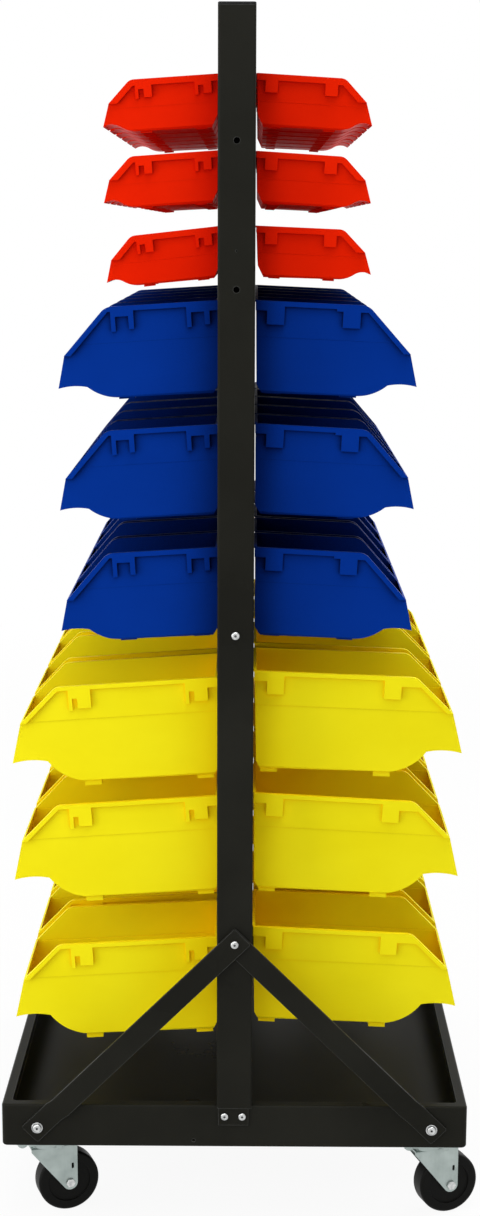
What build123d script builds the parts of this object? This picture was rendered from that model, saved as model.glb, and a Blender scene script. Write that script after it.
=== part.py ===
from build123d import *
import math
import os

os.makedirs("parts", exist_ok=True)

# All lengths are in millimetres and all angles in degrees.
# X runs across the cart, Y along it and Z up. The origin is on the floor under the cart's middle.
# The near end is at -Y and the left side at -X.

half_turn = 180.0
quarter_turn = 90.0
cut_margin = 5.0  # how far a cutting shape runs past what it cuts
hole_play = 0.15  # radial room round a bolt in its hole
thread_play = 0.05  # radial room between a bolt and its nut
running_play = 0.08  # radial room round a turning shaft
seat_play = 0.2  # gap left where a bin's hook sits on its rail

# Tray
tray_width = 559.0
tray_length = 740.0
tray_bottom_height = 107.0
tray_wall_height = 53.0
tray_sheet = 1.5
tray_rim_reach = 12.0
tray_corner_radius = 7.0
tray_bend_radius = 3.0
tray_tie_hole_radius = 2.0
tray_tie_hole_out = 48.8
tray_tie_hole_drop = 44.5

# Posts
post_width = 42.0
post_depth = 42.0
post_sheet = 1.8
post_corner_radius = 3.0
post_top_height = 1436.0
post_front_overlap = 2.0
post_hole_radius = 3.6
upper_post_hole_drop = 147.1
lower_post_hole_drop = 309.1
dimple_hole_drop = 266.7
dimple_hole_radius = 1.2
cap_thickness = 3.0
cap_edge_radius = 1.5
cap_plug_depth = 14.0
cap_plug_play = 0.2

# Foot plates, inside the posts and over the tray's end walls
foot_plate_sheet = 2.4
foot_plate_width = 36.2
foot_plate_upper_width = 34.0
foot_plate_shoulder_drop = 0.5
foot_plate_drop = 24.0
foot_plate_end = 14.0
foot_plate_shift = -1.1
foot_bolt_spacing = 21.0
foot_bolt_drop = 12.5

# Braces
brace_width = 27.0
brace_sheet = 3.0
brace_end = 13.0
brace_top_height = 366.0
brace_foot_out = 236.5
brace_foot_height = 132.0
brace_bend_length = 12.0
brace_bend_from_foot = 28.0
brace_corner_radius = 2.5

# Tie tube between the posts
tie_height_share = 0.51177  # of the post's top height
tie_radius = 8.0
tie_wall = 1.6
tie_plug_length = 20.0
tie_bolt_bite = 15.0

# Rails that the bins hang on
rail_sheet = 1.5
rail_leg_in_from_hook = 4.9
rail_depth = 32.0

# Fasteners
bolt_radius = 3.0
socket_radius = 1.6
socket_depth = 1.6
dome_share = 0.6
nut_flats = 10.0
nut_height = 5.0
bolt_tail = 1.5
post_bolt_head_radius = 4.8
post_bolt_head_height = 3.0
foot_bolt_head_radius = 4.6
foot_bolt_head_height = 2.8
washer_radius = 6.8
washer_height = 1.2
washer_head_radius = 5.0
washer_head_height = 2.8

# Casters
caster_out = 234.0
caster_along = 318.0
caster_rest_turn = 20.0
wheel_radius = 38.0
wheel_width = 25.0
wheel_edge_radius = 4.0
wheel_dish_inner_radius = 12.0
wheel_dish_outer_radius = 26.0
wheel_dish_depth = 2.0
wheel_hub_radius = 9.0
wheel_hub_gap = 0.3
caster_trail = 28.0
fork_sheet = 2.5
fork_gap = 29.6
fork_top_height = 88.5
fork_front_reach = 20.0
fork_toe_radius = 9.2
fork_slot_width = 3.0
fork_slot_height = 7.3
fork_slot_ahead = 3.2
fork_slot_rise = 22.0
fork_race_radius = 21.0
fork_race_height = 4.5
axle_radius = 3.0
axle_head_radius = 5.0
axle_head_height = 3.2
axle_rivet_height = 2.0
caster_plate_length = 92.0
caster_plate_width = 62.0
caster_plate_sheet = 2.5
caster_plate_corner_radius = 6.0
caster_bolt_spacing_long = 74.0
caster_bolt_spacing_short = 45.0
caster_bolt_head_radius = 5.0
caster_bolt_head_height = 2.6
plate_race_radius = 24.0
plate_race_lower_radius = 17.0
race_gap = 0.4
kingpin_radius = 5.0
kingpin_head_radius = 8.0
kingpin_head_height = 3.0

# Bins: what all three sizes share
hook_out = 22.0
bin_wall = 2.2
hook_reach = 9.0
hook_sheet = 2.0
hook_drop = 12.0
bin_end_room = 8.0
bin_bottom_chamfer = 3.2
tab_inset_share = 0.12
foot_inset = 2.0
underside_bend_share = 0.5
underside_mid_share = 0.5
underside_mid_height_share = 0.27
underside_wall_share = 1.3
inner_bend_share = 0.5

# Red bins, the small size
red_length = 132.5
red_width = 96.0
red_depth = 57.4
red_draft = 5.0
red_rim_out = 3.0
red_rim_height = 7.0
red_rear_rim_height = 7.6
red_front_rim_height = 7.6
red_front_rim_start = 84.0
red_rear_slope = 4.5
red_rear_cut_run = 6.0
red_rear_cut_rise = 13.0
red_top_run = 98.6
red_corner_radius = 12.0
red_lip_reach = 124.5
red_lip_drop = 25.0
red_tip_drop = 49.3
red_arch_rise = 2.5
red_floor_run = 96.0
red_floor_rise = 1.4
red_crease_drop = 30.0
red_crease_step = 0.3
red_tab_width = 18.6
red_tab_front = 93.4
red_tab_rear = 26.4
red_tab_drop = 20.2
red_tab_plate_drop = 11.0
red_tab_rib_width = 3.6
red_tab_rib_drop = 21.2
red_tab_block_width = 9.0
red_foot_height = 1.0
red_foot_length = 13.0
red_foot_width = 8.0
red_foot_front = 91.0
red_foot_rear = 29.0

# Blue bins, the middle size
blue_length = 189.0
blue_width = 116.0
blue_depth = 105.5
blue_draft = 6.0
blue_rim_out = 3.5
blue_rim_height = 5.7
blue_rear_rim_height = 11.3
blue_front_rim_height = 8.3
blue_front_rim_start = 92.5
blue_rear_slope = 5.5
blue_rear_cut_run = 6.0
blue_rear_cut_rise = 10.0
blue_top_run = 128.4
blue_corner_radius = 18.0
blue_lip_reach = 179.5
blue_lip_drop = 53.0
blue_tip_drop = 90.0
blue_arch_rise = 2.0
blue_floor_run = 122.0
blue_floor_rise = 1.5
blue_crease_drop = 41.0
blue_crease_step = 0.3
blue_tab_width = 26.3
blue_tab_front = 123.0
blue_tab_rear = 36.3
blue_tab_drop = 26.6
blue_tab_plate_drop = 11.8
blue_tab_rib_width = 5.2
blue_tab_rib_drop = 28.5
blue_tab_block_width = 6.0
blue_foot_height = 0.8
blue_foot_length = 19.0
blue_foot_width = 10.0
blue_foot_front = 120.5
blue_foot_rear = 34.0

# Yellow bins, the large size
yellow_length = 250.0
yellow_width = 138.0
yellow_depth = 120.0
yellow_draft = 6.5
yellow_rim_out = 3.5
yellow_rim_height = 4.8
yellow_rear_rim_height = 11.6
yellow_front_rim_height = 11.6
yellow_front_rim_start = 163.0
yellow_rear_slope = 7.0
yellow_rear_cut_run = 4.5
yellow_rear_cut_rise = 9.0
yellow_top_run = 191.0
yellow_corner_radius = 14.0
yellow_lip_reach = 236.5
yellow_lip_drop = 42.0
yellow_tip_drop = 91.0
yellow_arch_rise = 2.6
yellow_floor_run = 166.0
yellow_floor_rise = 2.6
yellow_crease_drop = 41.1
yellow_crease_step = 0.8
yellow_tab_width = 26.4
yellow_tab_front = 176.8
yellow_tab_rear = 38.6
yellow_tab_drop = 27.0
yellow_tab_plate_drop = 15.0
yellow_tab_rib_width = 4.4
yellow_tab_rib_drop = 29.5
yellow_tab_block_width = 16.0
yellow_foot_height = 4.9
yellow_foot_length = 20.0
yellow_foot_width = 12.0
yellow_foot_front = 166.4
yellow_foot_rear = 32.0

# Rows: how many bins hang in one, how high its hooks are as a share of the post's top height, and
# how far the bins droop, on the left and on the right
red_count = 6
blue_count = 5
yellow_count = 4
red_left_height_shares = [0.94958, 0.89143, 0.83315]
red_right_height_shares = [0.95014, 0.89109, 0.83370]
red_left_droops = [4.0, 4.1, 6.5]
red_right_droops = [3.4, 3.6, 2.4]
blue_left_height_shares = [0.77563, 0.67744, 0.57786]
blue_right_height_shares = [0.77570, 0.67813, 0.57799]
blue_left_droops = [3.7, 3.7, 3.6]
blue_right_droops = [2.6, 3.0, 2.9]
yellow_left_height_shares = [0.47019, 0.36978, 0.24728]
yellow_right_height_shares = [0.47556, 0.37228, 0.25669]
yellow_left_droops = [3.95, 3.95, 3.4]
yellow_right_droops = [2.2, 3.0, 2.6]

# Places worked out from the sizes above
upper_post_hole_height = post_top_height - upper_post_hole_drop
lower_post_hole_height = post_top_height - lower_post_hole_drop
dimple_hole_height = post_top_height - dimple_hole_drop
tie_height = tie_height_share * post_top_height
red_left_heights = [share * post_top_height for share in red_left_height_shares]
red_right_heights = [share * post_top_height for share in red_right_height_shares]
blue_left_heights = [share * post_top_height for share in blue_left_height_shares]
blue_right_heights = [share * post_top_height for share in blue_right_height_shares]
yellow_left_heights = [share * post_top_height for share in yellow_left_height_shares]
yellow_right_heights = [share * post_top_height for share in yellow_right_height_shares]
tray_end = tray_length / 2
tray_side = tray_width / 2
tray_rim_height = tray_bottom_height + tray_wall_height
post_front = tray_end + foot_plate_sheet + post_sheet
post_back = post_front - post_depth
post_bottom_height = tray_rim_height - post_front_overlap
row_length = 2 * (post_back - bin_end_room)
rail_length = 2 * post_back
rail_leg_outer = hook_out - rail_leg_in_from_hook + rail_sheet
foot_bolt_height = tray_rim_height - foot_bolt_drop
foot_bolt_outs = [foot_plate_shift - foot_bolt_spacing / 2, foot_plate_shift + foot_bolt_spacing / 2]
brace_run = math.hypot(brace_foot_out, brace_top_height - brace_foot_height)
brace_angle = math.degrees(math.atan2(brace_top_height - brace_foot_height, brace_foot_out))
caster_top_height = tray_bottom_height
plate_bottom_height = caster_top_height - caster_plate_sheet
axle_height = wheel_radius
fork_leg_outer = fork_gap / 2 + fork_sheet
fork_web_bottom = fork_top_height - fork_sheet


def save(piece, name):
    piece.part.label = name
    export_step(piece.part, "parts/" + name + ".step")


def end_plane(side, out, along, height):
    # a plane that looks out of one end, near -1 or far 1; out is to the right as seen from that end
    return Plane(origin=(-side * out, side * along, height), x_dir=(-side, 0, 0), z_dir=(0, side, 0))


def turn_to_far_end(piece):
    # the same piece at the far end, half a turn round the upright axis
    with BuildPart() as turned:
        with Locations(Location((0, 0, 0), (0, 0, half_turn))):
            add(piece.part)
    return turned


# Bins
# A bin is drawn with its hook's top corner at the origin: u runs out to the tip, v across and z up.
# The functions take the sizes of one kind of bin as a table.


def floor_height(size, out):
    # the underside rises a little from the rear to the front
    rear = size["rear_slope"] + size["rear_cut_run"]
    return -size["depth"] + size["floor_rise"] * (out - rear) / (size["floor_run"] - rear)


def box_outline(front, rear, top, bottom):
    # a rectangle between two distances out and two heights
    with BuildSketch() as outline:
        with Locations(((front + rear) / 2, (top + bottom) / 2)):
            Rectangle(front - rear, top - bottom)
    return outline.sketch


def bin_side_outline(size):
    # the outside of the side wall, seen from the side
    tip_out = size["length"]
    tip_height = -size["tip_drop"]
    lip = (size["lip_reach"], -size["lip_drop"])
    floor_front = (size["floor_run"], size["floor_rise"] - size["depth"])
    floor_rear = (size["rear_slope"] + size["rear_cut_run"], -size["depth"])
    rear_lean = size["rear_slope"] / size["depth"]
    rear_foot_height = size["rear_cut_rise"] - size["depth"]
    arch_run = (tip_out - size["floor_run"]) * underside_bend_share
    bend = (
        floor_front[0] + arch_run * underside_mid_share,
        floor_front[1] + (tip_height - floor_front[1]) * underside_mid_height_share,
    )
    with BuildSketch() as outline:
        with BuildLine():
            top = FilletPolyline((0, 0), (size["top_run"], 0), lip, radius=size["corner_radius"])
            Line(top @ 1, (tip_out, tip_height))
            arch = ThreePointArc(
                (tip_out, tip_height),
                (tip_out - arch_run / 2, tip_height + size["arch_rise"]),
                (tip_out - arch_run, tip_height),
            )
            bottom = ThreePointArc(arch @ 1, bend, floor_front)
            Polyline(
                bottom @ 1,
                floor_rear,
                (-rear_lean * rear_foot_height, rear_foot_height),
                (0, 0),
            )
        make_face()
    return outline.sketch


def bin_inner_outline(size):
    # the inside of the side wall, running up past the open top
    arch_run = (size["length"] - size["floor_run"]) * underside_bend_share
    front_lean = (size["length"] - size["lip_reach"]) / (size["tip_drop"] - size["lip_drop"])
    skin = bin_wall * underside_wall_share
    front_top = size["length"] - bin_wall - front_lean * (size["tip_drop"] + cut_margin)
    front_foot = size["length"] - skin - front_lean * skin
    tip_height = skin - size["tip_drop"]
    arch_end = size["length"] - arch_run - bin_wall * inner_bend_share
    floor_front = (size["floor_run"], size["floor_rise"] - size["depth"] + bin_wall)
    bend = (
        floor_front[0] + (arch_end - floor_front[0]) * underside_mid_share,
        floor_front[1] + (tip_height - floor_front[1]) * underside_mid_height_share,
    )
    cut_lean = math.atan2(size["rear_cut_rise"], size["rear_cut_run"])
    floor_rear = size["rear_slope"] + size["rear_cut_run"] + bin_wall * math.tan(cut_lean / 2)
    upright_turn = math.radians(quarter_turn) - cut_lean
    rear_foot_height = size["rear_cut_rise"] - size["depth"] + bin_wall * math.tan(upright_turn / 2)
    rear_lean = size["rear_slope"] / size["depth"]
    with BuildSketch() as outline:
        with BuildLine():
            Polyline(
                floor_front,
                (floor_rear, bin_wall - size["depth"]),
                (bin_wall - rear_lean * rear_foot_height, rear_foot_height),
                (bin_wall - rear_lean * cut_margin, cut_margin),
                (front_top, cut_margin),
                (front_foot, tip_height),
            )
            arch = ThreePointArc(
                (front_foot, tip_height),
                ((front_foot + arch_end) / 2, tip_height + size["arch_rise"]),
                (arch_end, tip_height),
            )
            ThreePointArc(arch @ 1, bend, floor_front)
        make_face()
    return outline.sketch


def rim_inner_corner(size, slope):
    # where the band under the top edge meets the one along the sloping front
    return size["top_run"] - size["rim_height"] * math.tan(slope / 2)


def bin_rim_outline(size):
    # the band that follows the top edge and the sloping front edge
    top_run = size["top_run"]
    rim_height = size["rim_height"]
    lip_out = size["lip_reach"]
    lip_height = -size["lip_drop"]
    slope = math.atan2(size["lip_drop"], lip_out - top_run)
    run_back = rim_height / math.sin(slope)
    with BuildSketch() as outline:
        with BuildLine():
            corners = ((0, 0), (top_run, 0), (lip_out, lip_height))
            top = FilletPolyline(*corners, radius=size["corner_radius"])
            Polyline(
                top @ 1,
                (lip_out - run_back, lip_height),
                (rim_inner_corner(size, slope), -rim_height),
                (0, -rim_height),
                (0, 0),
            )
        make_face()
    return outline.sketch


def front_rim_outline(size):
    # a deeper stretch of rim from the front tab to the sloping band's inner edge
    slope = math.atan2(size["lip_drop"], size["lip_reach"] - size["top_run"])
    extra_height = size["front_rim_height"] - size["rim_height"]
    corner = rim_inner_corner(size, slope)
    with BuildSketch() as outline:
        with BuildLine():
            Polyline(
                (size["front_rim_start"], -size["rim_height"] / 2),
                (corner, -size["rim_height"] / 2),
                (corner + extra_height / math.tan(slope), -size["front_rim_height"]),
                (size["front_rim_start"], -size["front_rim_height"]),
                (size["front_rim_start"], -size["rim_height"] / 2),
            )
        make_face()
    return outline.sketch


def slotted_tab_outline(size, front):
    # a plate under the rim with a rib at its front and a block at its rear, and a slot between them
    rear = front - size["tab_width"]
    with BuildSketch() as outline:
        add(box_outline(front, rear, 0, -size["tab_plate_drop"]))
        add(box_outline(front, front - size["tab_rib_width"], 0, -size["tab_rib_drop"]))
        add(box_outline(rear + size["tab_block_width"], rear, 0, -size["tab_drop"]))
    return outline.sketch


def plain_tab_outline(size, front):
    inset = tab_inset_share * size["tab_width"]
    rear = front - size["tab_width"]
    return box_outline(front - inset, rear + inset, 0, -size["tab_drop"])


def bin_section(size, skin):
    # the body seen from the front: upright above the crease, then stepped in and tapering;
    # skin is how far inside the outer surface it lies
    half_width = size["width"] / 2 - skin
    depth = size["depth"] - skin
    crease_height = -size["crease_drop"]
    crease_half = half_width + size["draft"] / depth * crease_height
    floor_half = half_width - size["draft"]
    with BuildSketch() as section:
        with BuildLine():
            Polyline(
                (-half_width, cut_margin),
                (-half_width, 0),
                (-crease_half, crease_height),
                (size["crease_step"] - crease_half, crease_height),
                (-floor_half, -depth),
                (floor_half, -depth),
                (crease_half - size["crease_step"], crease_height),
                (crease_half, crease_height),
                (half_width, 0),
                (half_width, cut_margin),
                (-half_width, cut_margin),
            )
        make_face()
        bottom_corners = section.vertices().group_by(Axis.Y)[0]
        chamfer(bottom_corners, bin_bottom_chamfer - (2 - math.sqrt(2)) * skin)
    return section.sketch


def make_bin(size):
    half = size["width"] / 2
    rim_half = half + size["rim_out"]

    with BuildPart() as hollow:
        with BuildSketch(Plane.XZ):
            add(bin_inner_outline(size))
        extrude(amount=half, both=True)
        with BuildSketch(Plane.YZ.offset(-cut_margin)):
            add(bin_section(size, bin_wall))
        extrude(amount=size["length"] + 2 * cut_margin, mode=Mode.INTERSECT)

    with BuildPart() as body:
        with BuildSketch(Plane.XZ):
            add(bin_side_outline(size))
        extrude(amount=half, both=True)
        with BuildSketch(Plane.YZ.offset(-cut_margin)):
            add(bin_section(size, 0))
        extrude(amount=size["length"] + 2 * cut_margin, mode=Mode.INTERSECT)
        # rim band round the open top, deeper behind the rear tabs
        with BuildSketch(Plane.XZ):
            add(bin_rim_outline(size))
            add(box_outline(size["tab_rear"] - size["tab_width"] / 2, 0, 0, -size["rear_rim_height"]))
        extrude(amount=rim_half, both=True)
        # plain tabs on one side, where the rim is deeper before the front tab too
        with BuildSketch(Plane.XZ):
            add(front_rim_outline(size))
            for front_edge in (size["tab_front"], size["tab_rear"]):
                add(plain_tab_outline(size, front_edge))
        extrude(amount=rim_half)
        # slotted tabs on the other side
        with BuildSketch(Plane.XZ):
            for front_edge in (size["tab_front"], size["tab_rear"]):
                add(slotted_tab_outline(size, front_edge))
        extrude(amount=-rim_half)
        add(hollow.part, mode=Mode.SUBTRACT)
        # feet under the corners
        foot_out = half - size["draft"] - bin_bottom_chamfer - foot_inset - size["foot_width"] / 2
        for front_edge in (size["foot_front"], size["foot_rear"]):
            middle = front_edge - size["foot_length"] / 2
            foot_top = floor_height(size, middle) + bin_wall / 2
            with BuildSketch(Plane.XY.offset(foot_top)):
                with Locations((middle, -foot_out), (middle, foot_out)):
                    Rectangle(size["foot_length"], size["foot_width"])
            extrude(amount=-(foot_top + size["depth"] + size["foot_height"]))
        # hook along the back wall
        with BuildSketch(Plane.XZ):
            with BuildLine():
                Polyline(
                    (bin_wall / 2, 0),
                    (-hook_reach, 0),
                    (-hook_reach, -hook_drop),
                    (-hook_reach + hook_sheet, -hook_drop),
                    (-hook_reach + hook_sheet, -hook_sheet),
                    (bin_wall / 2, -hook_sheet),
                    (bin_wall / 2, 0),
                )
            make_face()
        extrude(amount=half - bin_bottom_chamfer, both=True)
    return body.part


red_bin = make_bin({
    "length": red_length,
    "width": red_width,
    "depth": red_depth,
    "draft": red_draft,
    "rim_out": red_rim_out,
    "rim_height": red_rim_height,
    "rear_rim_height": red_rear_rim_height,
    "front_rim_height": red_front_rim_height,
    "front_rim_start": red_front_rim_start,
    "rear_slope": red_rear_slope,
    "rear_cut_run": red_rear_cut_run,
    "rear_cut_rise": red_rear_cut_rise,
    "top_run": red_top_run,
    "corner_radius": red_corner_radius,
    "lip_reach": red_lip_reach,
    "lip_drop": red_lip_drop,
    "tip_drop": red_tip_drop,
    "arch_rise": red_arch_rise,
    "floor_run": red_floor_run,
    "floor_rise": red_floor_rise,
    "crease_drop": red_crease_drop,
    "crease_step": red_crease_step,
    "tab_width": red_tab_width,
    "tab_front": red_tab_front,
    "tab_rear": red_tab_rear,
    "tab_drop": red_tab_drop,
    "tab_plate_drop": red_tab_plate_drop,
    "tab_rib_width": red_tab_rib_width,
    "tab_rib_drop": red_tab_rib_drop,
    "tab_block_width": red_tab_block_width,
    "foot_height": red_foot_height,
    "foot_length": red_foot_length,
    "foot_width": red_foot_width,
    "foot_front": red_foot_front,
    "foot_rear": red_foot_rear,
})
blue_bin = make_bin({
    "length": blue_length,
    "width": blue_width,
    "depth": blue_depth,
    "draft": blue_draft,
    "rim_out": blue_rim_out,
    "rim_height": blue_rim_height,
    "rear_rim_height": blue_rear_rim_height,
    "front_rim_height": blue_front_rim_height,
    "front_rim_start": blue_front_rim_start,
    "rear_slope": blue_rear_slope,
    "rear_cut_run": blue_rear_cut_run,
    "rear_cut_rise": blue_rear_cut_rise,
    "top_run": blue_top_run,
    "corner_radius": blue_corner_radius,
    "lip_reach": blue_lip_reach,
    "lip_drop": blue_lip_drop,
    "tip_drop": blue_tip_drop,
    "arch_rise": blue_arch_rise,
    "floor_run": blue_floor_run,
    "floor_rise": blue_floor_rise,
    "crease_drop": blue_crease_drop,
    "crease_step": blue_crease_step,
    "tab_width": blue_tab_width,
    "tab_front": blue_tab_front,
    "tab_rear": blue_tab_rear,
    "tab_drop": blue_tab_drop,
    "tab_plate_drop": blue_tab_plate_drop,
    "tab_rib_width": blue_tab_rib_width,
    "tab_rib_drop": blue_tab_rib_drop,
    "tab_block_width": blue_tab_block_width,
    "foot_height": blue_foot_height,
    "foot_length": blue_foot_length,
    "foot_width": blue_foot_width,
    "foot_front": blue_foot_front,
    "foot_rear": blue_foot_rear,
})
yellow_bin = make_bin({
    "length": yellow_length,
    "width": yellow_width,
    "depth": yellow_depth,
    "draft": yellow_draft,
    "rim_out": yellow_rim_out,
    "rim_height": yellow_rim_height,
    "rear_rim_height": yellow_rear_rim_height,
    "front_rim_height": yellow_front_rim_height,
    "front_rim_start": yellow_front_rim_start,
    "rear_slope": yellow_rear_slope,
    "rear_cut_run": yellow_rear_cut_run,
    "rear_cut_rise": yellow_rear_cut_rise,
    "top_run": yellow_top_run,
    "corner_radius": yellow_corner_radius,
    "lip_reach": yellow_lip_reach,
    "lip_drop": yellow_lip_drop,
    "tip_drop": yellow_tip_drop,
    "arch_rise": yellow_arch_rise,
    "floor_run": yellow_floor_run,
    "floor_rise": yellow_floor_rise,
    "crease_drop": yellow_crease_drop,
    "crease_step": yellow_crease_step,
    "tab_width": yellow_tab_width,
    "tab_front": yellow_tab_front,
    "tab_rear": yellow_tab_rear,
    "tab_drop": yellow_tab_drop,
    "tab_plate_drop": yellow_tab_plate_drop,
    "tab_rib_width": yellow_tab_rib_width,
    "tab_rib_drop": yellow_tab_rib_drop,
    "tab_block_width": yellow_tab_block_width,
    "foot_height": yellow_foot_height,
    "foot_length": yellow_foot_length,
    "foot_width": yellow_foot_width,
    "foot_front": yellow_foot_front,
    "foot_rear": yellow_foot_rear,
})


def bin_places(height, droop, count, outside_width, side):
    # one row on one side, from the near end to the far end
    pitch = (row_length - outside_width) / (count - 1)
    first = -(row_length - outside_width) / 2
    turn = 0 if side > 0 else half_turn
    return [
        Location((side * hook_out, first + number * pitch, height), (0, side * droop, turn))
        for number in range(count)
    ]


def hang_bins(colour, piece, count, outside_width, rows):
    # rows holds the heights and droops of the left side and of the right side
    for side, side_name, heights, droops in rows:
        later_places = []
        for row, (height, droop) in enumerate(zip(heights, droops)):
            places = bin_places(height, droop, count, outside_width, side)
            with BuildPart() as near_bin:
                with Locations(places[0]):
                    add(piece)
            save(near_bin, colour + "_bin_" + str(row + 1) + "_" + side_name)
            later_places += places[1:]
        with BuildPart() as other_bins:
            with Locations(*later_places):
                add(piece)
        save(other_bins, "other_" + colour + "_bins_" + side_name)


red_rows = [
    (-1, "left", red_left_heights, red_left_droops),
    (1, "right", red_right_heights, red_right_droops),
]
blue_rows = [
    (-1, "left", blue_left_heights, blue_left_droops),
    (1, "right", blue_right_heights, blue_right_droops),
]
yellow_rows = [
    (-1, "left", yellow_left_heights, yellow_left_droops),
    (1, "right", yellow_right_heights, yellow_right_droops),
]
hang_bins("red", red_bin, red_count, red_width + 2 * red_rim_out, red_rows)
hang_bins("blue", blue_bin, blue_count, blue_width + 2 * blue_rim_out, blue_rows)
hang_bins("yellow", yellow_bin, yellow_count, yellow_width + 2 * yellow_rim_out, yellow_rows)


# Rails: a channel for each level, welded between the posts, with a leg for each side's hooks


def rail_leg_top(height, droop):
    # the hook's roof is tilted by the droop, so the leg stops under its lowest point
    lean = math.radians(droop)
    reach = rail_leg_in_from_hook - rail_sheet
    return height + reach * math.sin(lean) - hook_sheet * math.cos(lean) - seat_play


def make_rails(rows):
    left_row, right_row = rows
    left_tops = [rail_leg_top(height, droop) for height, droop in zip(*left_row[2:])]
    right_tops = [rail_leg_top(height, droop) for height, droop in zip(*right_row[2:])]
    with BuildPart() as rails:
        for left_top, right_top in zip(left_tops, right_tops):
            bottom = min(left_top, right_top) - rail_depth
            inner = rail_leg_outer - rail_sheet
            with BuildSketch(Plane.XZ.offset(-rail_length / 2)):
                with BuildLine():
                    Polyline(
                        (-rail_leg_outer, left_top),
                        (-rail_leg_outer, bottom),
                        (rail_leg_outer, bottom),
                        (rail_leg_outer, right_top),
                        (inner, right_top),
                        (inner, bottom + rail_sheet),
                        (-inner, bottom + rail_sheet),
                        (-inner, left_top),
                        (-rail_leg_outer, left_top),
                    )
                make_face()
            extrude(amount=rail_length)
    return rails


save(make_rails(red_rows), "red_rails")
save(make_rails(blue_rows), "blue_rails")
save(make_rails(yellow_rows), "yellow_rails")


# Tray: a folded pan with its rim turned in

with BuildPart() as base_tray:
    with BuildSketch(Plane.XY.offset(tray_bottom_height)):
        RectangleRounded(tray_width, tray_length, tray_corner_radius)
    extrude(amount=tray_wall_height)
    fillet(base_tray.faces().sort_by(Axis.Z)[0].edges(), tray_bend_radius)
    fillet(base_tray.faces().sort_by(Axis.Z)[-1].edges(), tray_bend_radius)
    with BuildSketch(Plane.XY.offset(tray_bottom_height + tray_sheet)):
        RectangleRounded(
            tray_width - 2 * tray_sheet, tray_length - 2 * tray_sheet, tray_corner_radius - tray_sheet
        )
    extrude(amount=tray_wall_height - 2 * tray_sheet, mode=Mode.SUBTRACT)
    with BuildSketch(Plane.XY.offset(tray_rim_height - 2 * tray_sheet)):
        RectangleRounded(
            tray_width - 2 * tray_rim_reach,
            tray_length - 2 * tray_rim_reach,
            tray_corner_radius - tray_sheet,
        )
    extrude(amount=2 * tray_sheet + cut_margin, mode=Mode.SUBTRACT)
    for side in (-1, 1):
        with BuildSketch(end_plane(side, 0, tray_end + cut_margin, 0)):
            with Locations(*[(out, foot_bolt_height) for out in foot_bolt_outs]):
                Circle(bolt_radius + hole_play)
            with Locations((-brace_foot_out, brace_foot_height), (brace_foot_out, brace_foot_height)):
                Circle(bolt_radius + hole_play)
            with Locations((-tray_tie_hole_out, tray_rim_height - tray_tie_hole_drop)):
                Circle(tray_tie_hole_radius)
        extrude(amount=-tray_sheet - 2 * cut_margin, mode=Mode.SUBTRACT)
    with BuildSketch(Plane.XY.offset(tray_bottom_height - cut_margin)):
        for out in (-caster_out, caster_out):
            for along in (-caster_along, caster_along):
                with Locations((out, along)):
                    with GridLocations(caster_bolt_spacing_short, caster_bolt_spacing_long, 2, 2):
                        Circle(bolt_radius + hole_play)
    extrude(amount=tray_sheet + 2 * cut_margin, mode=Mode.SUBTRACT)
save(base_tray, "base_tray")


# Posts: square tubes that stand on the tray's rim, with the front wall run down over its edge

with BuildPart() as near_post:
    post_middle = -(post_front + post_back) / 2
    with BuildSketch(Plane.XY.offset(post_bottom_height)):
        with Locations((0, post_middle)):
            RectangleRounded(post_width, post_depth, post_corner_radius)
            RectangleRounded(
                post_width - 2 * post_sheet,
                post_depth - 2 * post_sheet,
                post_corner_radius - post_sheet,
                mode=Mode.SUBTRACT,
            )
    extrude(amount=post_top_height - cap_thickness - post_bottom_height)
    with BuildSketch(Plane.XY.offset(post_bottom_height - cut_margin)):
        with Locations((0, -(post_front - post_sheet) + post_depth / 2)):
            Rectangle(post_width + 2 * cut_margin, post_depth)
    extrude(amount=post_front_overlap + cut_margin, mode=Mode.SUBTRACT)
    with BuildSketch(end_plane(-1, 0, post_front + cut_margin, 0)):
        with Locations((0, upper_post_hole_height), (0, lower_post_hole_height)):
            Circle(post_hole_radius)
        with Locations((0, dimple_hole_height)):
            Circle(dimple_hole_radius)
        with Locations((0, tie_height), (0, brace_top_height)):
            Circle(bolt_radius + hole_play)
    extrude(amount=-post_sheet - 2 * cut_margin, mode=Mode.SUBTRACT)
    with BuildSketch(end_plane(-1, 0, post_back + post_sheet + cut_margin, 0)):
        with Locations((0, tie_height)):
            Circle(bolt_radius + hole_play)
    extrude(amount=-post_sheet - 2 * cut_margin, mode=Mode.SUBTRACT)
save(near_post, "near_post")
save(turn_to_far_end(near_post), "far_post")

with BuildPart() as post_caps:
    for along in (-(post_front + post_back) / 2, (post_front + post_back) / 2):
        with BuildSketch(Plane.XY.offset(post_top_height - cap_thickness)):
            with Locations((0, along)):
                RectangleRounded(post_width, post_depth, post_corner_radius)
        extrude(amount=cap_thickness)
    fillet(post_caps.faces().group_by(Axis.Z)[-1].edges(), cap_edge_radius)
    for along in (-(post_front + post_back) / 2, (post_front + post_back) / 2):
        with BuildSketch(Plane.XY.offset(post_top_height - cap_thickness)):
            with Locations((0, along)):
                RectangleRounded(
                    post_width - 2 * post_sheet - 2 * cap_plug_play,
                    post_depth - 2 * post_sheet - 2 * cap_plug_play,
                    post_corner_radius - post_sheet,
                )
                Rectangle(
                    post_width - 4 * post_sheet - 2 * cap_plug_play,
                    post_depth - 4 * post_sheet - 2 * cap_plug_play,
                    mode=Mode.SUBTRACT,
                )
        extrude(amount=-cap_plug_depth)
save(post_caps, "post_caps")


# Foot plates: each is held by two bolts in the tray's wall and reaches up inside its post

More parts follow.
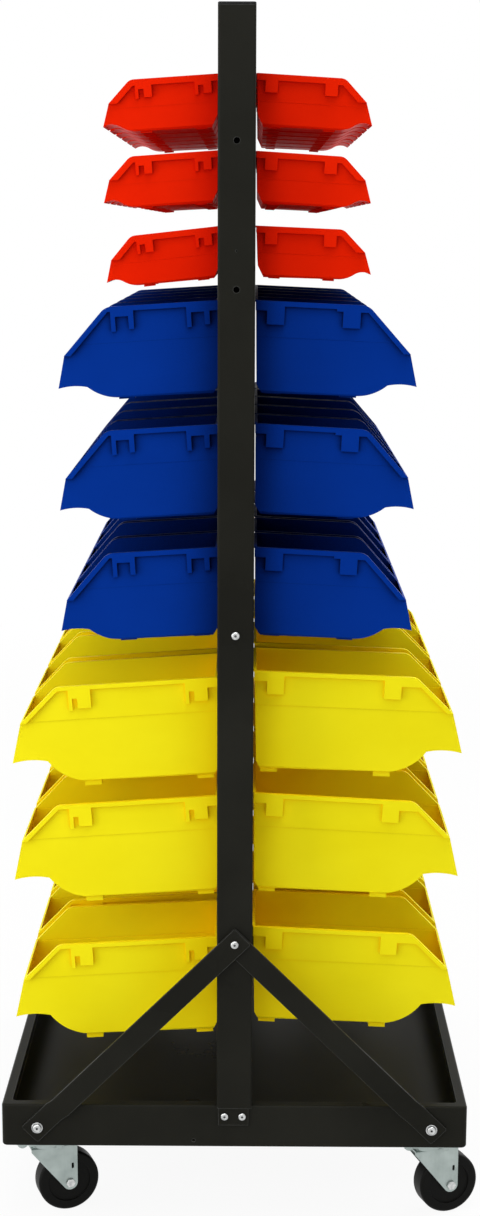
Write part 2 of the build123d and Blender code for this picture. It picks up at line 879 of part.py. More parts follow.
with BuildPart() as near_foot_plate:
    plate_bottom = tray_rim_height - foot_plate_drop
    shoulder_height = post_bottom_height - foot_plate_shoulder_drop
    plate_top = brace_top_height + foot_plate_end
    with BuildSketch(end_plane(-1, 0, tray_end, 0)):
        with Locations((foot_plate_shift, (plate_bottom + shoulder_height) / 2)):
            Rectangle(foot_plate_width, shoulder_height - plate_bottom)
        with Locations((0, (plate_bottom + plate_top) / 2)):
            Rectangle(foot_plate_upper_width, plate_top - plate_bottom)
        with Locations(*[(out, foot_bolt_height) for out in foot_bolt_outs]):
            Circle(bolt_radius + hole_play, mode=Mode.SUBTRACT)
        with Locations((0, brace_top_height)):
            Circle(bolt_radius + hole_play, mode=Mode.SUBTRACT)
    extrude(amount=foot_plate_sheet)
save(near_foot_plate, "near_foot_plate")
save(turn_to_far_end(near_foot_plate), "far_foot_plate")


# Braces: flat bars set out twice over so that they pass from the tray's wall on to the post


def make_brace(lean, set_out):
    # lean -1 starts at the left of the tray, 1 at the right, as seen from the near end
    brace_plane = Plane(
        origin=(lean * brace_foot_out, -tray_end, brace_foot_height),
        x_dir=(-lean * brace_foot_out, 0, brace_top_height - brace_foot_height),
        z_dir=(lean * (brace_top_height - brace_foot_height), 0, brace_foot_out),
    )
    bend_start = brace_bend_from_foot
    bend_end = brace_bend_from_foot + brace_bend_length
    outward = -1 if brace_plane.y_dir.Y > 0 else 1
    with BuildPart() as brace:
        with BuildSketch(brace_plane):
            with BuildLine():
                Polyline(
                    (-brace_end, 0),
                    (bend_start, 0),
                    (bend_end, outward * set_out),
                    (brace_run + brace_end, outward * set_out),
                    (brace_run + brace_end, outward * (set_out + brace_sheet)),
                    (bend_end, outward * (set_out + brace_sheet)),
                    (bend_start, outward * brace_sheet),
                    (-brace_end, outward * brace_sheet),
                    (-brace_end, 0),
                )
            make_face()
        extrude(amount=brace_width / 2, both=True)
        fillet(brace.edges().filter_by(Axis.Y), brace_corner_radius)
        with BuildSketch(end_plane(-1, 0, tray_end - cut_margin, 0)):
            with Locations((lean * brace_foot_out, brace_foot_height), (0, brace_top_height)):
                Circle(bolt_radius + hole_play)
        extrude(amount=set_out + brace_sheet + 2 * cut_margin, mode=Mode.SUBTRACT)
    return brace


near_right_brace = make_brace(1, foot_plate_sheet + post_sheet)
near_left_brace = make_brace(-1, foot_plate_sheet + post_sheet + brace_sheet)
save(near_right_brace, "near_right_brace")
save(near_left_brace, "near_left_brace")
save(turn_to_far_end(near_right_brace), "far_left_brace")
save(turn_to_far_end(near_left_brace), "far_right_brace")


# Tie tube between the posts, with a threaded plug in each end

with BuildPart() as cross_tie:
    with BuildSketch(end_plane(-1, 0, post_back, tie_height)):
        Circle(tie_radius)
    extrude(amount=-2 * post_back)
    with BuildSketch(end_plane(-1, 0, post_back - tie_plug_length, tie_height)):
        Circle(tie_radius - tie_wall)
    extrude(amount=-2 * (post_back - tie_plug_length), mode=Mode.SUBTRACT)
    for side in (-1, 1):
        with BuildSketch(end_plane(side, 0, post_back, tie_height)):
            Circle(bolt_radius + thread_play)
        extrude(amount=-tie_plug_length, mode=Mode.SUBTRACT)
save(cross_tie, "cross_tie")


# Fasteners: a bolt's head stands on its z 0 and the shank goes down from there


def make_bolt(head_radius, head_height, shank_length):
    with BuildPart() as bolt:
        with BuildSketch():
            Circle(head_radius)
        extrude(amount=head_height)
        fillet(bolt.faces().sort_by(Axis.Z)[-1].edges(), head_height * dome_share)
        with BuildSketch(Plane.XY.offset(head_height)):
            RegularPolygon(socket_radius, 6)
        extrude(amount=-socket_depth, mode=Mode.SUBTRACT)
        with BuildSketch():
            Circle(bolt_radius)
        extrude(amount=-shank_length)
    return bolt.part


def make_nut():
    with BuildPart() as nut:
        with BuildSketch():
            RegularPolygon(nut_flats / 2, 6, major_radius=False)
            Circle(bolt_radius + thread_play, mode=Mode.SUBTRACT)
        extrude(amount=-nut_height)
    return nut.part


def place_group(piece, planes, name):
    with BuildPart() as group:
        with Locations(*[plane.location for plane in planes]):
            add(piece)
    save(group, name)


both_ends = (-1, 1)
brace_foot_ends = [(side, out) for side in both_ends for out in (-brace_foot_out, brace_foot_out)]
foot_bolt_ends = [(side, out) for side in both_ends for out in foot_bolt_outs]
brace_foot_face = tray_end + brace_sheet
brace_top_face = post_front + 2 * brace_sheet
foot_plate_face = tray_end + foot_plate_sheet
tray_inner_face = tray_end - tray_sheet
nut_and_tail = nut_height + bolt_tail

with BuildPart() as washer:
    with BuildSketch():
        Circle(washer_radius)
        Circle(bolt_radius + hole_play, mode=Mode.SUBTRACT)
    extrude(amount=washer_height)
place_group(
    washer.part,
    [end_plane(side, out, brace_foot_face, brace_foot_height) for side, out in brace_foot_ends],
    "brace_washers",
)
place_group(
    make_bolt(
        washer_head_radius, washer_head_height, washer_height + brace_sheet + tray_sheet + nut_and_tail
    ),
    [
        end_plane(side, out, brace_foot_face + washer_height, brace_foot_height)
        for side, out in brace_foot_ends
    ],
    "brace_foot_bolts",
)
place_group(
    make_bolt(post_bolt_head_radius, post_bolt_head_height, brace_top_face - tray_end + nut_and_tail),
    [end_plane(side, 0, brace_top_face, brace_top_height) for side in both_ends],
    "brace_top_bolts",
)
foot_bolt_reach = foot_plate_sheet + tray_sheet + nut_and_tail
place_group(
    make_bolt(foot_bolt_head_radius, foot_bolt_head_height, foot_bolt_reach),
    [end_plane(side, out, foot_plate_face, foot_bolt_height) for side, out in foot_bolt_ends],
    "foot_bolts",
)
place_group(
    make_bolt(post_bolt_head_radius, post_bolt_head_height, post_depth + tie_bolt_bite),
    [end_plane(side, 0, post_front, tie_height) for side in both_ends],
    "tie_bolts",
)
place_group(
    make_nut(),
    [end_plane(side, out, tray_inner_face, brace_foot_height) for side, out in brace_foot_ends]
    + [end_plane(side, out, tray_inner_face, foot_bolt_height) for side, out in foot_bolt_ends]
    + [end_plane(side, 0, tray_end, brace_top_height) for side in both_ends],
    "frame_nuts",
)


# Casters
# A caster is drawn under its own pivot at the origin, with the wheel trailing towards +X.

caster_corners = [
    ("near_left", Location((-caster_out, -caster_along, 0), (0, 0, caster_rest_turn))),
    ("near_right", Location((caster_out, -caster_along, 0), (0, 0, caster_rest_turn))),
    ("far_left", Location((-caster_out, caster_along, 0), (0, 0, caster_rest_turn + half_turn))),
    ("far_right", Location((caster_out, caster_along, 0), (0, 0, caster_rest_turn + half_turn))),
]
pivot_places = [place.position for corner, place in caster_corners]
fork_race_top = fork_top_height + fork_race_height
plate_race_bottom = fork_race_top + race_gap

with BuildPart() as fork:
    web_length = caster_trail + fork_toe_radius + fork_front_reach
    with BuildSketch(Plane.XZ):
        with Locations((caster_trail, axle_height)):
            Circle(fork_toe_radius)
        with Locations((web_length / 2 - fork_front_reach, fork_top_height - fork_sheet)):
            Rectangle(web_length, 2 * fork_sheet)
        make_hull()
    extrude(amount=fork_leg_outer, both=True)
    fillet(fork.edges().filter_by(Axis.X).group_by(Axis.Z)[-1], fork_sheet)
    with BuildSketch(Plane.XY.offset(fork_web_bottom)):
        Rectangle(2 * (caster_trail + fork_toe_radius + cut_margin), fork_gap)
    extrude(amount=-fork_web_bottom, mode=Mode.SUBTRACT)
    with BuildSketch(Plane.XZ):
        with Locations((caster_trail, axle_height)):
            Circle(axle_radius + thread_play)
        with Locations((caster_trail + fork_slot_ahead, axle_height + fork_slot_rise)):
            SlotOverall(fork_slot_height, fork_slot_width, rotation=quarter_turn)
    extrude(amount=fork_leg_outer + cut_margin, both=True, mode=Mode.SUBTRACT)
    with BuildSketch(Plane.XY.offset(fork_top_height)):
        Circle(fork_race_radius)
    extrude(amount=fork_race_height)
    with BuildSketch(Plane.XY.offset(fork_web_bottom - cut_margin)):
        Circle(kingpin_radius + running_play)
    extrude(amount=fork_sheet + fork_race_height + 2 * cut_margin, mode=Mode.SUBTRACT)

with BuildPart() as wheel:
    with BuildSketch(Plane.XZ):
        with Locations((caster_trail, axle_height)):
            Circle(wheel_radius)
    extrude(amount=wheel_width / 2, both=True)
    fillet(wheel.edges().filter_by(GeomType.CIRCLE), wheel_edge_radius)
    for side in both_ends:
        with BuildSketch(end_plane(side, -side * caster_trail, wheel_width / 2, axle_height)):
            Circle(wheel_dish_outer_radius)
            Circle(wheel_dish_inner_radius, mode=Mode.SUBTRACT)
        extrude(amount=-wheel_dish_depth, mode=Mode.SUBTRACT)
    with BuildSketch(Plane.XZ):
        with Locations((caster_trail, axle_height)):
            Circle(wheel_hub_radius)
    extrude(amount=fork_gap / 2 - wheel_hub_gap, both=True)
    with BuildSketch(Plane.XZ):
        with Locations((caster_trail, axle_height)):
            Circle(axle_radius + running_play)
    extrude(amount=fork_gap, both=True, mode=Mode.SUBTRACT)

with BuildPart() as axle:
    with BuildSketch(Plane.XZ):
        with Locations((caster_trail, axle_height)):
            Circle(axle_radius)
    extrude(amount=fork_leg_outer, both=True)
    with BuildSketch(Plane.XZ.offset(fork_leg_outer)):
        with Locations((caster_trail, axle_height)):
            RegularPolygon(axle_head_radius, 6, major_radius=False)
    extrude(amount=axle_head_height)
    with BuildSketch(Plane.XZ.offset(-fork_leg_outer)):
        with Locations((caster_trail, axle_height)):
            Circle(axle_head_radius)
    extrude(amount=-axle_rivet_height)

for corner, corner_place in caster_corners:
    for piece, piece_name in ((fork, "fork"), (wheel, "wheel"), (axle, "axle")):
        with BuildPart() as placed:
            with Locations(corner_place):
                add(piece.part)
        save(placed, corner + "_" + piece_name)

with BuildPart() as caster_plate:
    with BuildSketch(Plane.XY.offset(plate_bottom_height)):
        RectangleRounded(caster_plate_width, caster_plate_length, caster_plate_corner_radius)
    extrude(amount=caster_plate_sheet)
    with Locations((0, 0, (plate_race_bottom + plate_bottom_height) / 2)):
        Cone(plate_race_lower_radius, plate_race_radius, plate_bottom_height - plate_race_bottom)
    with BuildSketch(Plane.XY.offset(plate_race_bottom - cut_margin)):
        Circle(kingpin_radius + thread_play)
        with GridLocations(caster_bolt_spacing_short, caster_bolt_spacing_long, 2, 2):
            Circle(bolt_radius + hole_play)
    extrude(amount=caster_top_height - plate_race_bottom + 2 * cut_margin, mode=Mode.SUBTRACT)
with BuildPart() as caster_plates:
    with Locations(*pivot_places):
        add(caster_plate.part)
save(caster_plates, "caster_plates")

with BuildPart() as kingpin:
    head_top = fork_web_bottom - race_gap
    with BuildSketch(Plane.XY.offset(head_top)):
        Circle(kingpin_head_radius)
    extrude(amount=-kingpin_head_height)
    with BuildSketch(Plane.XY.offset(head_top)):
        Circle(kingpin_radius)
    extrude(amount=caster_top_height - head_top)
with BuildPart() as kingpins:
    with Locations(*pivot_places):
        add(kingpin.part)
save(kingpins, "kingpins")

bolt_spots = [
    (pivot.X + across, pivot.Y + lengthwise)
    for pivot in pivot_places
    for across in (-caster_bolt_spacing_short / 2, caster_bolt_spacing_short / 2)
    for lengthwise in (-caster_bolt_spacing_long / 2, caster_bolt_spacing_long / 2)
]
caster_bolt_reach = tray_sheet + caster_plate_sheet + nut_and_tail
place_group(
    make_bolt(caster_bolt_head_radius, caster_bolt_head_height, caster_bolt_reach),
    [Plane(origin=(out, along, tray_bottom_height + tray_sheet)) for out, along in bolt_spots],
    "caster_bolts",
)
place_group(
    make_nut(),
    [Plane(origin=(out, along, plate_bottom_height)) for out, along in bolt_spots],
    "caster_nuts",
)
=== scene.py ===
import math

import bpy
from mathutils import Matrix, Vector

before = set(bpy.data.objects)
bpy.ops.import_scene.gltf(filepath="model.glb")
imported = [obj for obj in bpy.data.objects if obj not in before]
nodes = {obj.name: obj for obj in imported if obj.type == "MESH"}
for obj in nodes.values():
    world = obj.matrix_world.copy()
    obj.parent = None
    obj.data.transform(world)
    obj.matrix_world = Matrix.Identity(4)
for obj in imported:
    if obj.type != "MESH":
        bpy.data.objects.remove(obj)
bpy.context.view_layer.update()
print("frame loaded:", len(nodes), "pieces")


# rays spent on each point by the two helpers that look around a point
rayCount = {
    "openness": 6,
    "edges": 4,
}


def startMaterial(name):
    mat = bpy.data.materials.new(name)
    mat.use_nodes = True
    tree = mat.node_tree
    shader = tree.nodes["Principled BSDF"]
    place = tree.nodes.new("ShaderNodeTexCoord")
    return mat, tree, shader, place.outputs["Object"]


def addNoise(tree, place, scale, detail, roughness=0.5, stretch=(1, 1, 1)):
    # stretch squeezes the pattern along an axis, for brushed or streaky looks
    mapping = tree.nodes.new("ShaderNodeMapping")
    mapping.inputs["Scale"].default_value = stretch
    noise = tree.nodes.new("ShaderNodeTexNoise")
    noise.inputs["Scale"].default_value = scale
    noise.inputs["Detail"].default_value = detail
    noise.inputs["Roughness"].default_value = roughness
    tree.links.new(place, mapping.inputs["Vector"])
    tree.links.new(mapping.outputs["Vector"], noise.inputs["Vector"])
    return noise.outputs["Fac"]


def addRamp(tree, value, colours, stops=(0.3, 0.7)):
    ramp = tree.nodes.new("ShaderNodeValToRGB")
    for element, position, colour in zip(ramp.color_ramp.elements, stops, colours):
        element.position = position
        element.color = (*colour, 1.0)
    tree.links.new(value, ramp.inputs["Fac"])
    return ramp.outputs["Color"]


def addRange(tree, value, results, limits=(0.3, 0.7)):
    remap = tree.nodes.new("ShaderNodeMapRange")
    remap.inputs["From Min"].default_value = limits[0]
    remap.inputs["From Max"].default_value = limits[1]
    remap.inputs["To Min"].default_value = results[0]
    remap.inputs["To Max"].default_value = results[1]
    tree.links.new(value, remap.inputs["Value"])
    return remap.outputs["Result"]


def addMix(tree, factor, first, second):
    # first and second are colours, or outputs of other nodes
    mix = tree.nodes.new("ShaderNodeMix")
    mix.data_type = "RGBA"
    tree.links.new(factor, mix.inputs["Factor"])
    for socket, value in ((mix.inputs["A"], first), (mix.inputs["B"], second)):
        if isinstance(value, tuple):
            socket.default_value = (*value, 1.0)
        else:
            tree.links.new(value, socket)
    return mix.outputs["Result"]


def addBump(tree, shader, heights):
    # heights: (value, strength, distance), each laid over the one before
    last = None
    for value, strength, distance in heights:
        bump = tree.nodes.new("ShaderNodeBump")
        bump.inputs["Strength"].default_value = strength
        bump.inputs["Distance"].default_value = distance
        tree.links.new(value, bump.inputs["Height"])
        if last:
            tree.links.new(last, bump.inputs["Normal"])
        last = bump.outputs["Normal"]
    tree.links.new(last, shader.inputs["Normal"])


def addOpenness(tree, reach, limits):
    # one out in the open, nought where other faces stand close around
    nook = tree.nodes.new("ShaderNodeAmbientOcclusion")
    nook.samples = rayCount["openness"]
    nook.inputs["Distance"].default_value = reach
    return addRange(tree, nook.outputs["AO"], (0, 1), limits)


def addEdges(tree, reach, limits):
    # one along the edges, nought on the open faces
    rounded = tree.nodes.new("ShaderNodeBevel")
    rounded.samples = rayCount["edges"]
    rounded.inputs["Radius"].default_value = reach
    face = tree.nodes.new("ShaderNodeNewGeometry")
    match = tree.nodes.new("ShaderNodeVectorMath")
    match.operation = "DOT_PRODUCT"
    tree.links.new(rounded.outputs["Normal"], match.inputs[0])
    tree.links.new(face.outputs["Normal"], match.inputs[1])
    return addRange(tree, match.outputs["Value"], (1, 0), limits)


def shade(colour, amount):
    return tuple(min(channel * amount, 1.0) for channel in colour)


def paint(tree, shader, colour, roughness):
    tree.links.new(colour, shader.inputs["Base Color"])
    tree.links.new(roughness, shader.inputs["Roughness"])


# In the finishes below, a pattern is (scale, detail, roughness, stretch) of a noise, the last
# two where they differ from plain. A bump is (strength, height in metres). Reach is in metres.

powderCoat = {
    "colour": (0.0132, 0.0131, 0.0104),
    "shades": (0.85, 1.2),
    "shadeStops": (0.35, 0.65),
    "cloud": (7, 4),
    "scuff": (60, 5, 0.6, (1, 1, 0.15)),
    "scuffRange": (0.62, 0.8),
    "scuffAmount": 0.25,
    "scuffShade": 1.25,
    "edge": (0.080, 0.082, 0.078),  # painted highlight: lighter colour along the edges, where they catch the light
    "edgeReach": 0.0014,
    "edgeRange": (0.8, 0.985),
    "peel": (420, 1),
    "peelBump": (0.5, 0.00008),
    "speck": (900, 2),
    "speckBump": (0.25, 0.00005),
    "roughness": (0.26, 0.32),
    "gloss": 0.03,
}


def makePowderCoat():
    mat, tree, shader, place = startMaterial("blackPowderCoat")
    colour = powderCoat["colour"]
    cloud = addNoise(tree, place, *powderCoat["cloud"])
    scuff = addNoise(tree, place, *powderCoat["scuff"])
    peel = addNoise(tree, place, *powderCoat["peel"])
    speck = addNoise(tree, place, *powderCoat["speck"])
    patches = [shade(colour, amount) for amount in powderCoat["shades"]]
    base = addRamp(tree, cloud, patches, powderCoat["shadeStops"])
    wear = addRange(tree, scuff, (0, powderCoat["scuffAmount"]), powderCoat["scuffRange"])
    worn = addMix(tree, wear, base, shade(colour, powderCoat["scuffShade"]))
    # painted highlight: a lighter colour along the edges, laid over the scuffed coat
    edges = addEdges(tree, powderCoat["edgeReach"], powderCoat["edgeRange"])
    wornAndHighlighted = addMix(tree, edges, worn, powderCoat["edge"])
    paint(tree, shader, wornAndHighlighted, addRange(tree, cloud, powderCoat["roughness"]))
    addBump(tree, shader, [(peel, *powderCoat["peelBump"]), (speck, *powderCoat["speckBump"])])
    shader.inputs["Specular IOR Level"].default_value = powderCoat["gloss"]
    return mat


# per colour: painted shade and bounce light deep inside the bins, and the painted shade along the
# step in the side walls
binPlastic = {
    "red": {
        "colour": (0.80, 0.0155, 0.0005),
        "deep": (0.75, 0.013, 0.0004),
        "hollow": (0.58, 0.004, 0.0002),
        "stepShade": 0.85,
    },
    "blue": {
        "colour": (0.0012, 0.030, 0.27),
        "deep": (0.0010, 0.027, 0.245),
        "hollow": (0.0002, 0.0032, 0.032),
        "stepShade": 0.9,
    },
    "yellow": {
        "colour": (0.86, 0.76, 0.009),
        "deep": (0.83, 0.72, 0.006),
        "hollow": (1.0, 0.68, 0.001),
        "stepShade": 0.6,
    },
    "cloud": (9, 3),
    "flow": (26, 4, 0.55, (0.35, 1, 1)),  # faint flow marks of the moulding
    "flowRange": (0.45, 0.75),
    "flowAmount": 0.35,
    "flowShade": 1.04,
    "flowBump": (0.1, 0.0004),
    "grain": (1500, 2),
    "grainBump": (0.2, 0.00005),
    "scuff": (140, 6, 0.65, (1, 0.2, 1)),
    "scuffBump": (0.1, 0.00005),
    "roughness": (0.36, 0.48),
    "gloss": 0.012,
    "hollowReach": 0.12,
    "hollowRange": (0.35, 0.85),
    "creaseReach": 0.009,
    "creaseRange": (0.4, 0.95),
    "creaseShade": 0.62,
    "stepShadeReach": 0.003,
    "stepShadeRange": (0.5, 0.92),
}


def makeBinPlastic(colourName):
    mat, tree, shader, place = startMaterial(colourName + "BinPlastic")
    tone = binPlastic[colourName]
    colour = tone["colour"]
    cloud = addNoise(tree, place, *binPlastic["cloud"])
    flow = addNoise(tree, place, *binPlastic["flow"])
    grain = addNoise(tree, place, *binPlastic["grain"])
    scuff = addNoise(tree, place, *binPlastic["scuff"])
    base = addRamp(tree, cloud, [tone["deep"], colour])
    marks = addRange(tree, flow, (0, binPlastic["flowAmount"]), binPlastic["flowRange"])
    marked = addMix(tree, marks, base, shade(colour, binPlastic["flowShade"]))
    # painted shade: darker in the narrow corners under rims and tabs and along the step, and painted
    # shade and bounce light deep inside the bins
    crease = addOpenness(tree, binPlastic["creaseReach"], binPlastic["creaseRange"])
    creased = addMix(tree, crease, shade(colour, binPlastic["creaseShade"]), marked)
    # painted shade along the step in the side walls
    stepShade = addOpenness(tree, binPlastic["stepShadeReach"], binPlastic["stepShadeRange"])
    outer = addMix(tree, stepShade, shade(colour, tone["stepShade"]), creased)
    # painted shade and bounce light: a deeper, richer colour inside the bins
    hollow = addOpenness(tree, binPlastic["hollowReach"], binPlastic["hollowRange"])
    whole = addMix(tree, hollow, tone["hollow"], outer)
    paint(tree, shader, whole, addRange(tree, scuff, binPlastic["roughness"]))
    addBump(tree, shader, [
        (flow, *binPlastic["flowBump"]),
        (grain, *binPlastic["grainBump"]),
        (scuff, *binPlastic["scuffBump"]),
    ])
    shader.inputs["Specular IOR Level"].default_value = binPlastic["gloss"]
    return mat


zincPlate = {
    "dark": (0.31, 0.36, 0.345),
    "light": (0.42, 0.48, 0.46),
    "cloud": (45, 5),
    "cloudBump": (0.1, 0.0003),
    "streak": (300, 4, 0.6, (1, 1, 0.06)),
    "streakBump": (0.18, 0.00006),
    "roughness": (0.30, 0.48),
    "metal": 0.9,
}


def makeZincPlate():
    mat, tree, shader, place = startMaterial("zincPlate")
    cloud = addNoise(tree, place, *zincPlate["cloud"])
    streak = addNoise(tree, place, *zincPlate["streak"])
    base = addRamp(tree, cloud, [zincPlate["dark"], zincPlate["light"]])
    paint(tree, shader, base, addRange(tree, streak, zincPlate["roughness"]))
    addBump(tree, shader, [(streak, *zincPlate["streakBump"]), (cloud, *zincPlate["cloudBump"])])
    shader.inputs["Metallic"].default_value = zincPlate["metal"]
    return mat


boltSteel = {
    "dark": (0.42, 0.43, 0.43),
    "light": (0.66, 0.67, 0.66),
    "shadeStops": (0.3, 0.65),
    "cloud": (220, 4),
    "turned": (900, 3, 0.6, (1, 0.1, 1)),  # marks of the turning
    "turnedBump": (0.12, 0.00003),
    "corner": (0.05, 0.05, 0.05),  # painted shade in the sockets and round the heads
    "cornerReach": 0.0025,
    "cornerRange": (0.45, 0.9),
    "roughness": (0.2, 0.36),
    "metal": 1.0,
}


def makeBoltSteel():
    mat, tree, shader, place = startMaterial("boltSteel")
    cloud = addNoise(tree, place, *boltSteel["cloud"])
    turned = addNoise(tree, place, *boltSteel["turned"])
    shades = [boltSteel["dark"], boltSteel["light"]]
    base = addRamp(tree, cloud, shades, boltSteel["shadeStops"])
    # painted shade: darker in the sockets and round the heads
    socketShadeMask = addOpenness(tree, boltSteel["cornerReach"], boltSteel["cornerRange"])
    socketShaded = addMix(tree, socketShadeMask, boltSteel["corner"], base)
    paint(tree, shader, socketShaded, addRange(tree, turned, boltSteel["roughness"]))
    addBump(tree, shader, [(turned, *boltSteel["turnedBump"])])
    shader.inputs["Metallic"].default_value = boltSteel["metal"]
    return mat


wheelRubber = {
    "colour": (0.0035, 0.0035, 0.0030),
    "shades": (0.8, 1.3),
    "cloud": (40, 4),
    "grain": (1300, 2),
    "grainBump": (0.3, 0.00008),
    "dustColour": (0.009, 0.009, 0.008),
    "dust": (180, 6, 0.7),
    "dustRange": (0.55, 0.75),
    "dustAmount": 0.3,
    "dustBump": (0.15, 0.0001),
    "roughness": (0.34, 0.5),
    "gloss": 0.08,
}


def makeWheelRubber():
    mat, tree, shader, place = startMaterial("wheelRubber")
    cloud = addNoise(tree, place, *wheelRubber["cloud"])
    grain = addNoise(tree, place, *wheelRubber["grain"])
    dust = addNoise(tree, place, *wheelRubber["dust"])
    patches = [shade(wheelRubber["colour"], amount) for amount in wheelRubber["shades"]]
    base = addRamp(tree, cloud, patches)
    cover = addRange(tree, dust, (0, wheelRubber["dustAmount"]), wheelRubber["dustRange"])
    dusty = addMix(tree, cover, base, wheelRubber["dustColour"])
    paint(tree, shader, dusty, addRange(tree, cloud, wheelRubber["roughness"]))
    addBump(tree, shader, [(grain, *wheelRubber["grainBump"]), (dust, *wheelRubber["dustBump"])])
    shader.inputs["Specular IOR Level"].default_value = wheelRubber["gloss"]
    return mat


capPlastic = {
    "colour": (0.007, 0.007, 0.007),
    "shades": (0.85, 1.25),
    "cloud": (60, 3),
    "grain": (1600, 2),
    "grainBump": (0.3, 0.00006),
    "roughness": (0.4, 0.5),
    "gloss": 0.12,
}


def makeCapPlastic():
    mat, tree, shader, place = startMaterial("capPlastic")
    cloud = addNoise(tree, place, *capPlastic["cloud"])
    grain = addNoise(tree, place, *capPlastic["grain"])
    patches = [shade(capPlastic["colour"], amount) for amount in capPlastic["shades"]]
    base = addRamp(tree, cloud, patches)
    paint(tree, shader, base, addRange(tree, cloud, capPlastic["roughness"]))
    addBump(tree, shader, [(grain, *capPlastic["grainBump"])])
    shader.inputs["Specular IOR Level"].default_value = capPlastic["gloss"]
    return mat


finishes = {
    "powder": makePowderCoat(),
    "red": makeBinPlastic("red"),
    "blue": makeBinPlastic("blue"),
    "yellow": makeBinPlastic("yellow"),
    "zinc": makeZincPlate(),
    "bolt": makeBoltSteel(),
    "wheel": makeWheelRubber(),
    "cap": makeCapPlastic(),
}
print("finishes made")


# what every piece's mesh gets; angles in degrees, lengths in metres
meshCare = {
    "sharpAngle": 35,
    "mergeReach": 0.00001,
    "flatAngle": 0.3,
    "bevelSegments": 2,
    "rounding": {
        "powder": 0.0004,
        "red": 0.0003,
        "blue": 0.0003,
        "yellow": 0.0004,
        "zinc": 0.0003,
        "bolt": 0.0003,
        "wheel": 0.0005,
        "cap": 0.0004,
    },
}


def pickFinish(node):
    for colour in ("red", "blue", "yellow"):
        if colour in node and "bin" in node:
            return colour
    if node.endswith("wheel"):
        return "wheel"
    if node.endswith("fork") or node in ("caster_plates", "kingpins", "caster_bolts", "caster_nuts"):
        return "zinc"
    if node == "post_caps":
        return "cap"
    if node.endswith(("bolts", "nuts", "washers", "axle")):
        return "bolt"
    return "powder"


def dressNode(name, piece):
    finish = pickFinish(name)
    sharpAngle = math.radians(meshCare["sharpAngle"])
    mesh = piece.data
    mesh.materials.clear()
    mesh.materials.append(finishes[finish])
    mesh.shade_smooth()
    mesh.set_sharp_from_angle(angle=sharpAngle)
    weld = piece.modifiers.new("weld", "WELD")
    weld.merge_threshold = meshCare["mergeReach"]
    # flat faces in one piece, so that the rounded edges shade cleanly
    flat = piece.modifiers.new("wholeFaces", "DECIMATE")
    flat.decimate_type = "DISSOLVE"
    flat.angle_limit = math.radians(meshCare["flatAngle"])
    bevel = piece.modifiers.new("softEdges", "BEVEL")
    bevel.width = meshCare["rounding"][finish]
    bevel.segments = meshCare["bevelSegments"]
    bevel.limit_method = "ANGLE"
    bevel.angle_limit = sharpAngle
    bevel.use_clamp_overlap = True
    normals = piece.modifiers.new("evenShading", "WEIGHTED_NORMAL")
    normals.keep_sharp = True


for name, piece in nodes.items():
    dressNode(name, piece)
print("pieces dressed")


# floorWhite is how much of the floor looks plain white, near the cart and beyond the fade
studio = {
    "floorSize": 30,
    "floorCells": 4,
    "floorColour": (0.86, 0.86, 0.86),
    "floorShade": 0.99,
    "floorFibre": (30, 3),
    "floorRoughness": 0.9,
    "floorWhite": (0.93, 1.0),
    "floorFade": (1.0, 3.5),
    "worldLight": 0.36,
    "backdropLight": 1.0,
}


def seenDirectly(tree):
    # one where the ray is from the eye, a reflection or a view through something clear
    rays = tree.nodes.new("ShaderNodeLightPath")
    seen = rays.outputs["Is Camera Ray"]
    for kind in ("Is Glossy Ray", "Is Transmission Ray"):
        either = tree.nodes.new("ShaderNodeMath")
        either.operation = "MAXIMUM"
        tree.links.new(seen, either.inputs[0])
        tree.links.new(rays.outputs[kind], either.inputs[1])
        seen = either.outputs[0]
    return seen


def makeFloor():
    bpy.ops.mesh.primitive_grid_add(
        x_subdivisions=studio["floorCells"],
        y_subdivisions=studio["floorCells"],
        size=studio["floorSize"],
        location=(0, 0, 0),
    )
    floor = bpy.context.active_object
    floor.name = "studioFloor"
    mat, tree, shader, place = startMaterial("palePaper")
    shader.inputs["Roughness"].default_value = studio["floorRoughness"]
    colour = studio["floorColour"]
    fibre = addNoise(tree, place, *studio["floorFibre"])
    paper = addRamp(tree, fibre, [shade(colour, studio["floorShade"]), colour])
    tree.links.new(paper, shader.inputs["Base Color"])
    glow = tree.nodes.new("ShaderNodeEmission")
    glow.inputs["Strength"].default_value = studio["backdropLight"]
    # whiter with the distance from the cart, so that no horizon shows
    away = tree.nodes.new("ShaderNodeVectorMath")
    away.operation = "LENGTH"
    tree.links.new(place, away.inputs[0])
    fade = addRange(tree, away.outputs["Value"], studio["floorWhite"], studio["floorFade"])
    amount = tree.nodes.new("ShaderNodeMath")
    amount.operation = "MULTIPLY"
    tree.links.new(seenDirectly(tree), amount.inputs[0])
    tree.links.new(fade, amount.inputs[1])
    mix = tree.nodes.new("ShaderNodeMixShader")
    tree.links.new(amount.outputs[0], mix.inputs["Fac"])
    tree.links.new(shader.outputs[0], mix.inputs[1])
    tree.links.new(glow.outputs[0], mix.inputs[2])
    tree.links.new(mix.outputs[0], tree.nodes["Material Output"].inputs["Surface"])
    floor.data.materials.append(mat)


def makeWorld():
    world = bpy.data.worlds.new("studioWorld")
    bpy.context.scene.world = world
    world.use_nodes = True
    tree = world.node_tree
    light = tree.nodes["Background"]
    backdrop = tree.nodes.new("ShaderNodeBackground")
    for white, strength in ((light, studio["worldLight"]), (backdrop, studio["backdropLight"])):
        white.inputs["Color"].default_value = (1, 1, 1, 1)
        white.inputs["Strength"].default_value = strength
    mix = tree.nodes.new("ShaderNodeMixShader")
    tree.links.new(seenDirectly(tree), mix.inputs["Fac"])
    tree.links.new(light.outputs[0], mix.inputs[1])
    tree.links.new(backdrop.outputs[0], mix.inputs[2])
    tree.links.new(mix.outputs[0], tree.nodes["World Output"].inputs["Surface"])


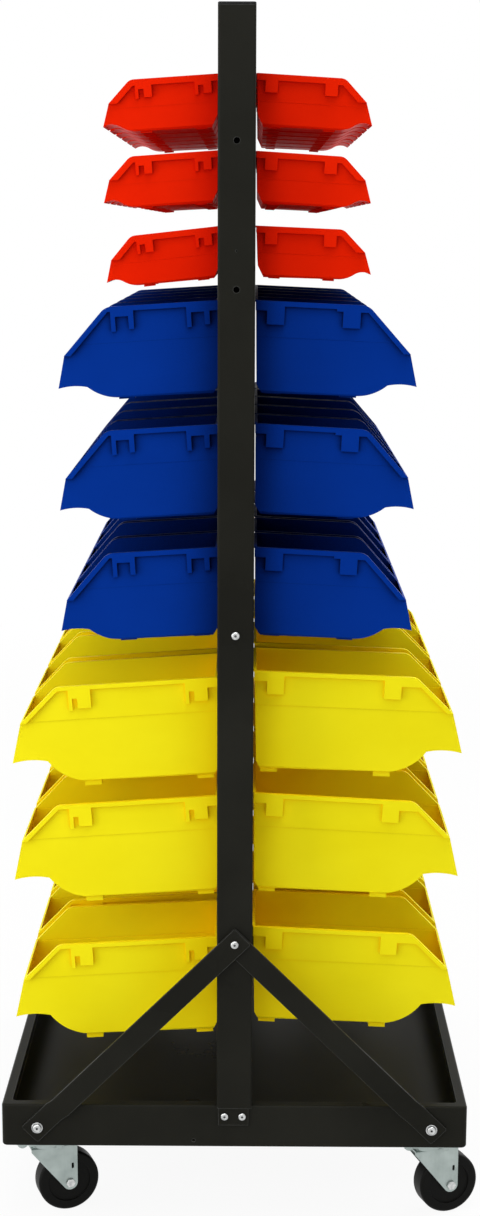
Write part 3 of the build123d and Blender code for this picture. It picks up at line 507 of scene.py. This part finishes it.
# power in watts, size, place and aim in metres; the two back lamps light the bins' open fronts
lamps = {
    "keyLamp": {
        "power": 12.5, "size": (1.0, 1.4), "place": (-0.9, -2.7, 1.6), "aim": (0, 0, 0.75),
    },
    "sideLamp": {
        "power": 21, "size": (1.2, 1.8), "place": (-2.0, -1.2, 1.0), "aim": (0, 0, 0.8),
    },
    "frontLamp": {
        "power": 7, "size": (1.4, 0.6), "place": (0.2, -3.3, 2.4), "aim": (0, 0, 0.7),
    },
    "leftBackLamp": {
        "power": 16, "size": (1.2, 1.6), "place": (-2.1, 0.8, 1.5), "aim": (0, 0, 0.5),
    },
    "rightBackLamp": {
        "power": 26, "size": (1.2, 1.6), "place": (2.1, 0.8, 1.5), "aim": (0, 0, 0.5),
    },
    "topLamp": {
        "power": 75, "size": (2.5, 2.5), "place": (0.3, -0.6, 3.6), "aim": (0, 0, 0.7),
    },
}


def addLamp(name, setting):
    lamp = bpy.data.lights.new(name, "AREA")
    lamp.energy = setting["power"]
    lamp.shape = "RECTANGLE"
    lamp.size, lamp.size_y = setting["size"]
    holder = bpy.data.objects.new(name, lamp)
    bpy.context.scene.collection.objects.link(holder)
    holder.location = setting["place"]
    beam = Vector(setting["aim"]) - Vector(setting["place"])
    holder.rotation_euler = beam.to_track_quat("-Z", "Y").to_euler()


# worked out from the photograph's perspective; lengths in metres, angles in degrees, lens in mm
cameraView = {
    "place": (0.0208, -2.6806, 1.1941),
    "pitch": -10.48,
    "yaw": 0.391,
    "roll": 0.178,
    "lens": 60.78,
    "sensor": 36,
    "farEnd": 100,
}


def addCamera():
    pitch = math.radians(cameraView["pitch"])
    yaw = math.radians(cameraView["yaw"])
    level = math.cos(pitch)
    ahead = Vector((-math.sin(yaw) * level, math.cos(yaw) * level, math.sin(pitch)))
    right = Vector((math.cos(yaw), math.sin(yaw), 0))
    up = right.cross(ahead)
    turn = Matrix((right, up, -ahead)).transposed().to_4x4()
    turn = turn @ Matrix.Rotation(math.radians(cameraView["roll"]), 4, "Z")
    lens = bpy.data.cameras.new("photoCamera")
    lens.lens = cameraView["lens"]
    lens.sensor_width = cameraView["sensor"]
    lens.sensor_fit = "AUTO"
    lens.clip_end = cameraView["farEnd"]
    camera = bpy.data.objects.new("photoCamera", lens)
    bpy.context.scene.collection.objects.link(camera)
    camera.matrix_world = Matrix.Translation(cameraView["place"]) @ turn
    bpy.context.scene.camera = camera


makeFloor()
makeWorld()
for name, setting in lamps.items():
    addLamp(name, setting)
addCamera()
bpy.context.scene.view_settings.view_transform = "Standard"
print("studio ready")
